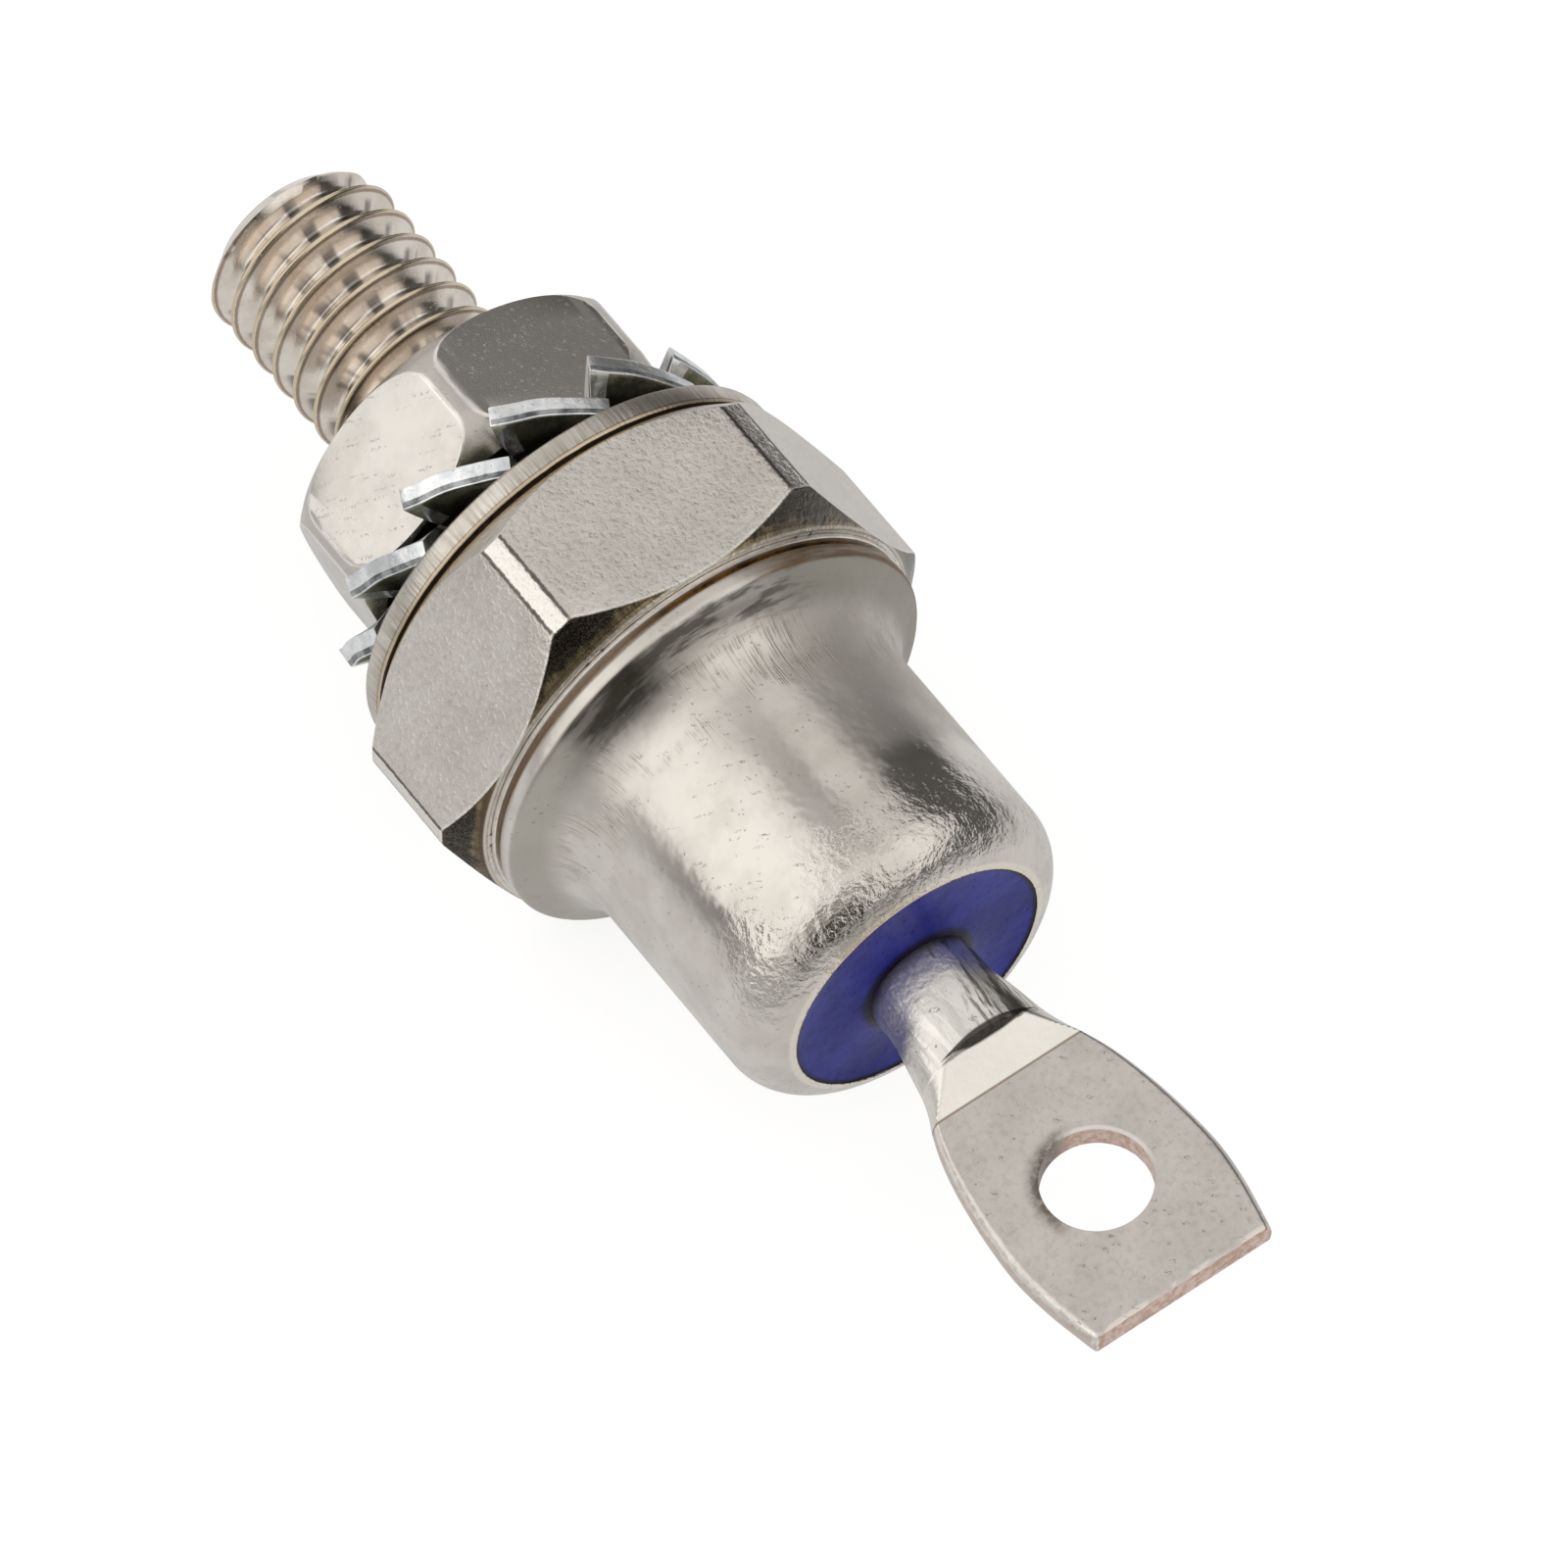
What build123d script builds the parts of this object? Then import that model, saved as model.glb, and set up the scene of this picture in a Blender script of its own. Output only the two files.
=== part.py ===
# Stud diode: a rectifier in a small hexagon metal case, with its washers and nut on the stud.
# The axis runs along X, with the stud towards -X and the terminal towards +X. The diode lies on
# one flat of its hexagon. The origin is on the axis, in the seat plane of the hexagon.
import os
from math import acos, cos, radians, sin, tan

from build123d import *

# Stud base, one copper forging
hex_across_flats = 11.0
hex_height = 4.05
hex_corner_dia = 12.4
seat_dia = 10.76
seat_chamfer_height = 0.8
top_land_dia = 11.0
top_chamfer_height = 0.63
stud_dia = 4.56
stud_length = 11.6
stud_end_chamfer = 0.5
pedestal_dia = 6.4
pedestal_height = 0.6

# Weld ring on the hexagon
ring_dia = 10.76
ring_bore = 7.4
ring_height = 0.24
ring_step_height = 0.12
ring_step_dia = 10.2

# Cap shell
flange_dia = 10.72
flange_edge_height = 0.34
flange_edge_break = 0.11
cap_dia = 8.3
cap_wall = 0.55
cap_height = 7.8
foot_sweep_height = 2.0
foot_inner_slope = 1.3
shoulder_radius = 1.26
mouth_dia = 6.26
mouth_lip = 0.5

# Glass seal
glass_depth = 2.6
glass_recess = 0.06
meniscus_height = 0.1
meniscus_width = 0.3

# Terminal, with its places counted from the top of the cap
tube_dia = 2.56
tube_wall = 0.58
tube_tail = 0.8
round_end = 0.7
swell_place = 1.45
swell_width = 2.86
swell_height = 2.34
die_line = 2.4
die_line_width = 3.26
die_line_height = 1.84
crease = 3.27
crease_width = 3.86
ramp_angle = 30.0
lug_thickness = 0.56
lug_lift = 0.07
lug_root_width = 2.8
lug_neck_width = 4.0
lug_belly = 7.2
lug_belly_width = 5.32
lug_length = 9.42
lug_end_width = 4.64
lug_edge_break = 0.1
lug_hole = 6.37
lug_hole_dia = 2.44
terminal_turn = 3.5

# Silicon stack on the pedestal
solder_thickness = 0.1
lower_disc_dia = 5.6
disc_thickness = 0.6
die_dia = 3.9
die_thickness = 0.3
upper_disc_dia = 3.2
coating_foot_dia = 5.2
coating_top_dia = 4.5

# Inner lead
lead_dia = 1.2
lead_head_dia = 2.6
lead_head_height = 0.35
lead_taper = 0.5
lead_reach = 1.58

# Flat washer
washer_dia = 10.76
washer_bore = 5.3
washer_thickness = 0.7
washer_edge_break = 0.12

# Star washer
star_dia = 10.0
star_bore = 5.3
star_thickness = 0.5
star_ring_dia = 7.4
tooth_count = 12
tooth_root_r = 4.15
tooth_root_width = 1.4
tooth_tip_width = 2.66
tooth_twist = 34.0
tooth_turn = 30.0

# Hexagon nut
nut_across_flats = 8.0
nut_height = 3.1
nut_face_dia = 7.86
nut_corner_dia = 9.2
nut_chamfer_height = 0.62
nut_mouth_dia = 5.5
nut_turn = 45.5
nut_slack = 0.13
thread_clearance = 0.03

# Places along the axis that several pieces share
ring_top = hex_height + ring_height
cap_top = ring_top + cap_height
cap_inner_r = cap_dia / 2 - cap_wall
mouth_foot = cap_top - mouth_lip
slope_foot = mouth_foot - (cap_inner_r - mouth_dia / 2)
glass_foot = cap_top - glass_depth
tube_foot = glass_foot - tube_tail
lower_disc_foot = hex_height + pedestal_height + solder_thickness
die_foot = lower_disc_foot + disc_thickness + solder_thickness
upper_disc_foot = die_foot + die_thickness + solder_thickness
lead_foot = upper_disc_foot + disc_thickness + solder_thickness


def turned(*edges):
    """Solid of revolution about the axis, from edges given as (place along the axis, radius)."""
    return revolve(make_face(Curve() + list(edges)), Axis.X)


def turned_outline(*points):
    """Solid of revolution about the axis, from the corners of its outline."""
    return revolve(make_face(Polyline(*points, close=True)), Axis.X)


def disc(foot, height, dia, bore=0.0):
    """Disc on the axis, or a ring where it has a bore, from foot to foot + height."""
    inner = bore / 2
    outer = dia / 2
    return turned_outline((foot, inner), (foot, outer), (foot + height, outer), (foot + height, inner))


def hexagon(foot, height, across_flats, turn=0.0):
    """Hexagonal prism along the axis. At turn 0 one of its flats faces down."""
    sketch = RegularPolygon(across_flats / 2, 6, major_radius=False, rotation=turn)
    return extrude(Plane.YZ.offset(foot) * sketch, height)


def oval(place, width, height):
    """Elliptical face across the axis."""
    return Plane.YZ.offset(place) * Ellipse(width / 2, height / 2)


def stud_base():
    """Hexagon with its corners turned off, the stud under it and the die pedestal on top."""
    corner_r = hex_corner_dia / 2
    stud_r = stud_dia / 2
    blank = turned_outline(
        (0, 0),
        (0, seat_dia / 2),
        (seat_chamfer_height, corner_r),
        (hex_height - top_chamfer_height, corner_r),
        (hex_height, top_land_dia / 2),
        (hex_height, 0),
    )
    stud = turned_outline(
        (-stud_length, 0),
        (-stud_length, stud_r - stud_end_chamfer),
        (stud_end_chamfer - stud_length, stud_r),
        (0, stud_r),
        (0, 0),
    )
    head = hexagon(0, hex_height, hex_across_flats) & blank
    return head + stud + disc(hex_height, pedestal_height, pedestal_dia)


def weld_ring():
    """Ring on the hexagon, with a smaller step on top that the cap's flange is welded to."""
    step_x = hex_height + ring_step_height
    return turned_outline(
        (hex_height, ring_bore / 2),
        (hex_height, ring_dia / 2),
        (step_x, ring_dia / 2),
        (step_x, ring_step_dia / 2),
        (ring_top, ring_step_dia / 2),
        (ring_top, ring_bore / 2),
    )


def cap_shell():
    """Drawn cap: flange, foot swept in to the neck, long wall and a round shoulder to the mouth."""
    flange_r = flange_dia / 2
    edge_x = ring_top + flange_edge_height
    sweep_start = (edge_x + flange_edge_break, flange_r - flange_edge_break)
    neck = (ring_top + foot_sweep_height, cap_dia / 2)
    shoulder_x = cap_top - shoulder_radius
    centre_r = cap_dia / 2 - shoulder_radius
    end = acos((mouth_dia / 2 - centre_r) / shoulder_radius)
    shoulder = ThreePointArc(
        (shoulder_x, cap_dia / 2),
        (shoulder_x + shoulder_radius * sin(end / 2), centre_r + shoulder_radius * cos(end / 2)),
        (shoulder_x + shoulder_radius * sin(end), mouth_dia / 2),
    )
    return turned(
        Polyline(
            (ring_top, cap_inner_r + foot_inner_slope),
            (ring_top, flange_r - flange_edge_break),
            (ring_top + flange_edge_break, flange_r),
            (edge_x, flange_r),
            sweep_start,
        ),
        TangentArc(neck, sweep_start, tangent=(-1, 0)),
        Line(neck, shoulder @ 0),
        shoulder,
        Polyline(
            shoulder @ 1,
            (mouth_foot, mouth_dia / 2),
            (slope_foot, cap_inner_r),
            (ring_top + foot_inner_slope, cap_inner_r),
            (ring_top, cap_inner_r + foot_inner_slope),
        ),
    )


def glass_seal():
    """Glass that fills the top of the cap up to its mouth and climbs a little up the tube."""
    tube_r = tube_dia / 2
    face = cap_top - glass_recess
    return turned_outline(
        (glass_foot, tube_r),
        (glass_foot, cap_inner_r),
        (slope_foot, cap_inner_r),
        (mouth_foot, mouth_dia / 2),
        (face, mouth_dia / 2),
        (face, tube_r + meniscus_width),
        (face + meniscus_height, tube_r),
    )


def terminal_tube():
    """Tube that swells where the dies close on it and is coined to a flat lug with a hole."""
    lug_top = lug_lift + lug_thickness / 2
    lug_foot = lug_lift - lug_thickness / 2
    bore_dia = tube_dia - 2 * tube_wall
    round_x = cap_top + round_end
    swell_x = cap_top + swell_place
    die_x = cap_top + die_line
    crease_x = cap_top + crease
    ramp_x = crease_x - tube_dia / tan(radians(ramp_angle))
    neck = loft(
        [
            oval(round_x, tube_dia, tube_dia),
            oval(swell_x, swell_width, swell_height),
            oval(die_x, die_line_width, die_line_height),
            oval(crease_x, crease_width, tube_dia),
        ]
    )
    between_dies = make_face(
        Polyline(
            (ramp_x, 0, lug_top + tube_dia),
            (crease_x, 0, lug_top),
            (crease_x, 0, lug_foot),
            (ramp_x, 0, lug_foot - tube_dia),
            close=True,
        )
    )
    neck &= extrude(between_dies, lug_belly_width, both=True)
    sides = [
        Spline(
            (die_x, side * lug_root_width / 2),
            (crease_x, side * lug_neck_width / 2),
            (cap_top + lug_belly, side * lug_belly_width / 2),
            (cap_top + lug_length, side * lug_end_width / 2),
        )
        for side in (1, -1)
    ]
    ends = [Line(sides[0] @ share, sides[1] @ share) for share in (0, 1)]
    lug = extrude(Plane.XY.offset(lug_foot) * make_face(Curve() + sides + ends), lug_thickness)
    lug = chamfer(lug.faces().filter_by(Axis.Z).edges().filter_by(GeomType.BSPLINE), lug_edge_break)
    lug -= Pos(cap_top + lug_hole, 0, 0) * Cylinder(lug_hole_dia / 2, 2 * lug_thickness)
    tube = disc(tube_foot, round_x - tube_foot, tube_dia)
    bore = turned_outline(
        (tube_foot, 0),
        (tube_foot, bore_dia / 2),
        (swell_x, bore_dia / 2),
        (die_x, 0),
    )
    return Rot(terminal_turn, 0, 0) * (tube + neck + lug - bore)


def inner_lead():
    """Copper wire whose upset head stands on the upper disc, and whose end is in the tube."""
    head_top = lead_foot + lead_head_height
    return turned_outline(
        (lead_foot, 0),
        (lead_foot, lead_head_dia / 2),
        (head_top, lead_head_dia / 2),
        (head_top + lead_taper, lead_dia / 2),
        (cap_top + lead_reach, lead_dia / 2),
        (cap_top + lead_reach, 0),
    )


def junction_coating():
    """Silicone bead on the lower disc, round the bare edge of the die."""
    lower_disc_top = lower_disc_foot + disc_thickness
    die_top = die_foot + die_thickness
    return turned_outline(
        (lower_disc_top, die_dia / 2),
        (lower_disc_top, coating_foot_dia / 2),
        (die_top, coating_top_dia / 2),
        (die_top, die_dia / 2),
    )


def flat_washer():
    """Blanked washer against the seat of the hexagon, with both edges of its rim broken."""
    washer = disc(-washer_thickness, washer_thickness, washer_dia, washer_bore)
    rim = washer.edges().filter_by(GeomType.CIRCLE).group_by(SortBy.RADIUS)[-1]
    return chamfer(rim, washer_edge_break)


def star_washer():
    """Flat ring with twelve tabs, each with a blade turned about its radius, on the flat washer."""
    ring_r = star_ring_dia / 2
    blank_r = (star_dia + star_thickness) / 2
    outline = Polyline(
        (tooth_root_r, tooth_root_width / 2),
        (blank_r, tooth_tip_width / 2),
        (blank_r, -tooth_tip_width / 2),
        (tooth_root_r, -tooth_root_width / 2),
        close=True,
    )
    blade = extrude(Plane.YZ.offset(-star_thickness / 2) * make_face(outline), star_thickness)
    tab_length = tooth_root_r - ring_r + star_thickness
    tab = Pos(0, (ring_r + tooth_root_r) / 2, 0) * Box(star_thickness, tab_length, tooth_root_width)
    tooth = Rot(0, -tooth_twist, 0) * blade + tab
    star = disc(-star_thickness / 2, star_thickness, star_ring_dia, star_bore)
    for step in range(tooth_count):
        star += Rot(tooth_turn + 360 / tooth_count * step, 0, 0) * tooth
    star &= disc(-tooth_tip_width, 2 * tooth_tip_width, star_dia, star_bore)
    return Pos(-washer_thickness - star.bounding_box().max.X, 0, 0) * star


def hex_nut(star_middle):
    """Nut with its corners turned off at both ends, on the plain cylinder that stands for the thread."""
    near = star_middle - star_thickness / 2 - nut_slack
    far = near - nut_height
    face_r = nut_face_dia / 2
    corner_r = nut_corner_dia / 2
    bore_r = stud_dia / 2 + thread_clearance
    mouth_r = nut_mouth_dia / 2
    flare = mouth_r - bore_r
    blank = turned_outline(
        (near - nut_chamfer_height, corner_r),
        (near, face_r),
        (near, mouth_r),
        (near - flare, bore_r),
        (far + flare, bore_r),
        (far, mouth_r),
        (far, face_r),
        (far + nut_chamfer_height, corner_r),
    )
    return blank & hexagon(far, nut_height, nut_across_flats, nut_turn)


star = star_washer()
parts = {
    "stud_base": stud_base(),
    "weld_ring": weld_ring(),
    "base_solder": disc(hex_height + pedestal_height, solder_thickness, lower_disc_dia),
    "lower_disc": disc(lower_disc_foot, disc_thickness, lower_disc_dia),
    "die_solder_lower": disc(die_foot - solder_thickness, solder_thickness, die_dia),
    "silicon_die": disc(die_foot, die_thickness, die_dia),
    "die_solder_upper": disc(die_foot + die_thickness, solder_thickness, upper_disc_dia),
    "upper_disc": disc(upper_disc_foot, disc_thickness, upper_disc_dia),
    "lead_solder": disc(lead_foot - solder_thickness, solder_thickness, lead_head_dia),
    "inner_lead": inner_lead(),
    "junction_coating": junction_coating(),
    "cap_shell": cap_shell(),
    "glass_seal": glass_seal(),
    "terminal_tube": terminal_tube(),
    "flat_washer": flat_washer(),
    "star_washer": star,
    "hex_nut": hex_nut(star.bounding_box().center().X),
}

os.makedirs("parts", exist_ok=True)
for name, solid in parts.items():
    export_step(solid, f"parts/{name}.step")
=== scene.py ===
# Stud diode, dressed for its picture: plated metal, blue glass, a rolled thread, washers and a nut.
# Everything is in metres in the frame of the solids: the axis runs along X and the diode lies on the floor.
import bpy
import math
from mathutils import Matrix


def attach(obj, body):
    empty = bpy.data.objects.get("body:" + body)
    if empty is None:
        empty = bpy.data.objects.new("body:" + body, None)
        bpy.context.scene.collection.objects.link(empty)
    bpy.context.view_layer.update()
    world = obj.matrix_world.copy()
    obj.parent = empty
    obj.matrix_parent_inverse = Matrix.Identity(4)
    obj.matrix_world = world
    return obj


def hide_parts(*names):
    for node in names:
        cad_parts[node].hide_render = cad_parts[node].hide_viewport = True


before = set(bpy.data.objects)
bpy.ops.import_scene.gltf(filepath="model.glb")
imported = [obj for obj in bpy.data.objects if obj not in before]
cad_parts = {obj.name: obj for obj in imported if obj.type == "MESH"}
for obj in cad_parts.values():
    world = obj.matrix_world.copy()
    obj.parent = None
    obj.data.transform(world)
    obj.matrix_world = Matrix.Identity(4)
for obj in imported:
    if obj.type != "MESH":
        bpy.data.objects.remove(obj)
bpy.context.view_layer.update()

# Stud base. One copper forging, nickel plated: the hexagon that a spanner takes, the low pedestal that
# carries the silicon, and the stud. The corners of the hexagon were turned off at both ends and the
# thread was rolled on last, so its crests are narrow and a little folded.
mm = 0.001
merge_gap = 0.0000008
cut_gap = 0.0000002


def made(tree, kind, inputs=None, **settings):
    """Node of a kind, with its settings, and with each input set or linked."""
    node = tree.nodes.new(kind)
    for key, value in settings.items():
        setattr(node, key, value)
    for key, value in (inputs or {}).items():
        if isinstance(value, bpy.types.NodeSocket):
            tree.links.new(value, node.inputs[key])
        else:
            node.inputs[key].default_value = value
    return node


def maths(operation, *values):
    """Output of a Math node, put where the first socket among the values comes from."""
    tree = next(value for value in values if isinstance(value, bpy.types.NodeSocket)).id_data
    return made(tree, "ShaderNodeMath", dict(enumerate(values)), operation=operation).outputs[0]


def times(first, *others):
    """Product of the values."""
    for other in others:
        first = maths("MULTIPLY", first, other)
    return first


def scaled(value, factor, start):
    """The value times a factor, plus a start."""
    return maths("MULTIPLY_ADD", value, factor, start)


def plus(first, second):
    """The sum of two values."""
    return maths("ADD", first, second)


def minus(first, second):
    """The first value less the second."""
    return maths("SUBTRACT", first, second)


def size_of(value):
    """The value without its sign."""
    return maths("ABSOLUTE", value)


def vectors(operation, first, second=None):
    """Output of a Vector Math node: a number for a dot product or a length, and else a vector."""
    inputs = {0: first}
    if second is not None:
        inputs["Scale" if operation == "SCALE" else 1] = second
    node = made(first.id_data, "ShaderNodeVectorMath", inputs, operation=operation)
    return node.outputs["Value" if operation in ("DOT_PRODUCT", "LENGTH") else "Vector"]


def ramp(value, low, high, first=0.0, last=1.0):
    """Value that goes smoothly from first to last as the input goes from low to high."""
    spread = {"Value": value, "From Min": low, "From Max": high, "To Min": first, "To Max": last}
    return made(value.id_data, "ShaderNodeMapRange", spread, interpolation_type="SMOOTHSTEP").outputs[0]


def band(value, rise, full, fall, end):
    """One from full to fall, and nothing before rise and after end."""
    return times(ramp(value, rise, full), ramp(value, fall, end, 1.0, 0.0))


def blend(share, first, second):
    """Colour between the first and the second."""
    node = made(share.id_data, "ShaderNodeMix", {0: share}, data_type="RGBA")
    for socket, value in ((node.inputs[6], first), (node.inputs[7], second)):
        if isinstance(value, bpy.types.NodeSocket):
            node.id_data.links.new(value, socket)
        else:
            socket.default_value = (*value, 1.0)
    return node.outputs[2]


def noise(place, scale, detail=3.0, rough=0.55, warp=0.0):
    """Factor of a Noise Texture at a place given in millimetres."""
    size = {"Vector": place, "Scale": scale, "Detail": detail, "Roughness": rough, "Distortion": warp}
    return made(place.id_data, "ShaderNodeTexNoise", size).outputs[0]


def group(name, inputs, outputs):
    """Empty shader node group with named float inputs and outputs, and its two end nodes."""
    tree = bpy.data.node_groups.new(name, "ShaderNodeTree")
    for label, value in inputs.items():
        socket = tree.interface.new_socket(label, in_out="INPUT", socket_type="NodeSocketFloat")
        socket.default_value = value
    for label, kind in outputs.items():
        tree.interface.new_socket(label, in_out="OUTPUT", socket_type=kind)
    return tree, tree.nodes.new("NodeGroupInput"), tree.nodes.new("NodeGroupOutput")


def used(tree, effect, **inputs):
    """An effect's node group placed in a material, with its inputs set."""
    node = tree.nodes.new("ShaderNodeGroup")
    node.node_tree = effect
    for label, value in inputs.items():
        node.inputs[label.replace("_", " ")].default_value = value
    return node.outputs


def point_in_mm(tree):
    """The shaded point in millimetres."""
    return vectors("SCALE", tree.nodes.new("ShaderNodeTexCoord").outputs["Object"], 1000.0)


# Where a point lies on a turned piece, for patterns that run round the axis or along it.
number = "NodeSocketFloat"
turned_outputs = {"Along": number, "Radius": number, "Round": "NodeSocketVector"}
turned_outputs |= {"Side": number, "Up": number, "Heading": number}
turned_place, _, group_out = group("turned_place", {}, turned_outputs)
point = point_in_mm(turned_place)
across = vectors("MULTIPLY", point, (0, 1, 1))
around = vectors("NORMALIZE", across)
_, side, up = made(turned_place, "ShaderNodeSeparateXYZ", {0: around}).outputs
turned_results = {
    "Along": made(turned_place, "ShaderNodeSeparateXYZ", {0: point}).outputs[0],
    "Radius": vectors("LENGTH", across),
    "Round": around,
    "Side": side,
    "Up": up,
    "Heading": maths("DEGREES", maths("ARCTAN2", up, side)),
}
for label, result in turned_results.items():
    turned_place.links.new(result, group_out.inputs[label])

# Plating: slow patches of tone, small pits and a fine grain.
plating, group_in, group_out = group(
    "plating",
    {"Patch Size": 1.5, "Pit Size": 0.22, "Pit Share": 0.12},
    {"Patch": number, "Pit": number, "Grain": number},
)
point = point_in_mm(plating)
patch_scale = maths("DIVIDE", 1.0, group_in.outputs["Patch Size"])
pit_scale = maths("DIVIDE", 1.0, group_in.outputs["Pit Size"])
jittered = vectors("ADD", point, noise(point, 9.0, detail=2.0))
cells = made(plating, "ShaderNodeTexVoronoi", {"Vector": jittered, "Scale": pit_scale}, feature="F1").outputs
chosen = made(plating, "ShaderNodeSeparateColor", {0: cells["Color"]}).outputs[0]
chosen = maths("LESS_THAN", chosen, group_in.outputs["Pit Share"])
near = ramp(cells["Distance"], 0.08, 0.34, 1.0, 0.0)
plating.links.new(noise(point, patch_scale, rough=0.6), group_out.inputs["Patch"])
plating.links.new(times(chosen, near), group_out.inputs["Pit"])
plating.links.new(noise(point, 26.0, detail=2.0, rough=0.7), group_out.inputs["Grain"])


def wound_noise(place, round_scale, along_scale, detail=2.0, rough=0.55):
    """Noise drawn out round the axis or along it, by how fast it changes in each direction."""
    turn = vectors("SCALE", place["Round"], round_scale)
    shift = made(turn.id_data, "ShaderNodeCombineXYZ", {0: times(place["Along"], along_scale)}).outputs[0]
    return noise(vectors("ADD", turn, shift), 1.0, detail, rough)


# Tool lines: rings that a turning tool leaves round the axis, and lines that a die draws along it.
tool_lines, group_in, group_out = group(
    "tool_lines", {"Ring Scale": 12.0, "Line Scale": 60.0}, {"Rings": number, "Lines": number}
)
place = used(tool_lines, turned_place)
rings = wound_noise(place, 0.4, group_in.outputs["Ring Scale"])
tool_lines.links.new(rings, group_out.inputs["Rings"])
lines = wound_noise(place, group_in.outputs["Line Scale"], 0.9)
tool_lines.links.new(lines, group_out.inputs["Lines"])


def from_flat(place, turn):
    """Degrees round from the middle of the nearest of six flats that are turned by an angle."""
    return minus(maths("MODULO", plus(place["Heading"], 720.0 - turn), 60.0), 30.0)


def surface(name, *pieces, metallic=1.0):
    """New material on the pieces: its node tree and its shader."""
    material = bpy.data.materials.new(name)
    material.use_nodes = True
    for piece in pieces:
        piece.data.materials.append(material)
    shader = material.node_tree.nodes["Principled BSDF"]
    shader.inputs["Metallic"].default_value = metallic
    return material.node_tree, shader


def finish_surface(shader, colour, roughness, height, depth):
    """Links a material's varying colour, roughness and height, with its relief in millimetres."""
    tree = shader.id_data
    tree.links.new(colour, shader.inputs["Base Color"])
    tree.links.new(roughness, shader.inputs["Roughness"])
    relief = made(tree, "ShaderNodeBump", {"Strength": 1.0, "Distance": depth * mm, "Height": height})
    tree.links.new(relief.outputs[0], shader.inputs["Normal"])


def select_only(*pieces):
    """The pieces alone selected, with the first of them active."""
    bpy.ops.object.select_all(action="DESELECT")
    for piece in pieces:
        piece.select_set(True)
    bpy.context.view_layer.objects.active = pieces[0]


def start_edit(piece):
    """The piece in edit mode, with all its points selected and the doubled ones merged."""
    select_only(piece)
    bpy.ops.object.mode_set(mode="EDIT")
    bpy.ops.mesh.select_mode(type="VERT")
    bpy.ops.mesh.select_all(action="SELECT")
    bpy.ops.mesh.remove_doubles(threshold=merge_gap)


def close_up(piece, smooth):
    """Merges doubled points, fills the open ends, turns the faces outwards and smooths the shading."""
    start_edit(piece)
    bpy.ops.mesh.fill_holes(sides=0)
    bpy.ops.mesh.select_all(action="SELECT")
    bpy.ops.mesh.normals_make_consistent(inside=False)
    bpy.ops.object.mode_set(mode="OBJECT")
    bpy.ops.object.shade_smooth_by_angle(angle=math.radians(smooth))


def turned(name, outline, steps):
    """Piece turned about the axis, drawn out ring by ring through an outline of (place, radius)."""
    first_x, first_r = outline[0]
    bpy.ops.mesh.primitive_circle_add(
        vertices=steps, radius=first_r * mm, location=(first_x * mm, 0, 0), rotation=(0, math.pi / 2, 0)
    )
    piece = bpy.context.object
    piece.name = name
    bpy.ops.object.transform_apply()
    bpy.ops.object.mode_set(mode="EDIT")
    for (x, r), (next_x, next_r) in zip(outline, outline[1:]):
        bpy.ops.mesh.extrude_region_move(TRANSFORM_OT_translate={"value": ((next_x - x) * mm, 0, 0)})
        bpy.ops.transform.resize(value=(1, next_r / r, next_r / r), center_override=(next_x * mm, 0, 0))
    bpy.ops.object.mode_set(mode="OBJECT")
    return piece


def pressed_hexagon(name, across_flats, corner_r, turn, sharp, low, high, before, after):
    """Turned blank pressed to six flats, which are turned by an angle and meet as sharply as sharp says.

    low and high give an end's face radius and its place by radius, and before and after the other rings.
    """
    steps = 360
    rows = [("low", share) for share in (0.0, 0.3, 0.6, 0.85, 0.97)]
    rows += [("side", share) for share in (0.012, 0.3, 0.7, 0.988)]
    rows += [("high", share) for share in (0.97, 0.85, 0.6, 0.3, 0.0)]

    def spot(role, share, limit):
        """Place and radius of a ring, where the blank's rim stands at a limit."""
        face_r, place = low if role == "low" else high
        if role == "side":
            return low[1](limit) + share * (high[1](limit) - low[1](limit)), limit
        r = face_r + share * (limit - face_r)
        return place(r), r

    piece = turned(name, before + [spot(*row, corner_r) for row in rows] + after, steps)
    for index, vertex in enumerate(piece.data.vertices):
        row = index // steps - len(before)
        if 0 <= row < len(rows):
            y, z = vertex.co.y / mm, vertex.co.z / mm
            off_middle = (math.degrees(math.atan2(z, y)) - turn) % 60 - 30
            turns = [off_middle + side for side in (-60, 0, 60) if abs(off_middle + side) < 80]
            planes = [across_flats / 2 / math.cos(math.radians(angle)) for angle in turns]
            least = min(planes)
            blended = least * sum((plane / least) ** -sharp for plane in planes) ** (-1 / sharp)
            limit = min(corner_r, blended)
            place, r = spot(*rows[row], limit)
            grow = r / math.hypot(y, z)
            vertex.co = (place * mm, y * grow * mm, z * grow * mm)
    return piece


hexagon_across = 11.0
hexagon_corner_r = 6.2
hexagon_height = 4.05
seat_r, seat_rise = 5.38, 0.8
land_r, land_drop = 5.5, 0.63
pedestal_r, pedestal_top = 3.2, 4.65


def seat_end(r):
    return seat_rise * (r - seat_r) / (hexagon_corner_r - seat_r)


def land_end(r):
    return hexagon_height - land_drop * (r - land_r) / (hexagon_corner_r - land_r)


hexagon = pressed_hexagon(
    "hexagon", hexagon_across, hexagon_corner_r, 0.0, 400.0, (seat_r, seat_end), (land_r, land_end),
    [(0.0, 1.9)], [(hexagon_height, pedestal_r), (pedestal_top, pedestal_r), (pedestal_top, 1.0)],
)
close_up(hexagon, 22.0)

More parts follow.
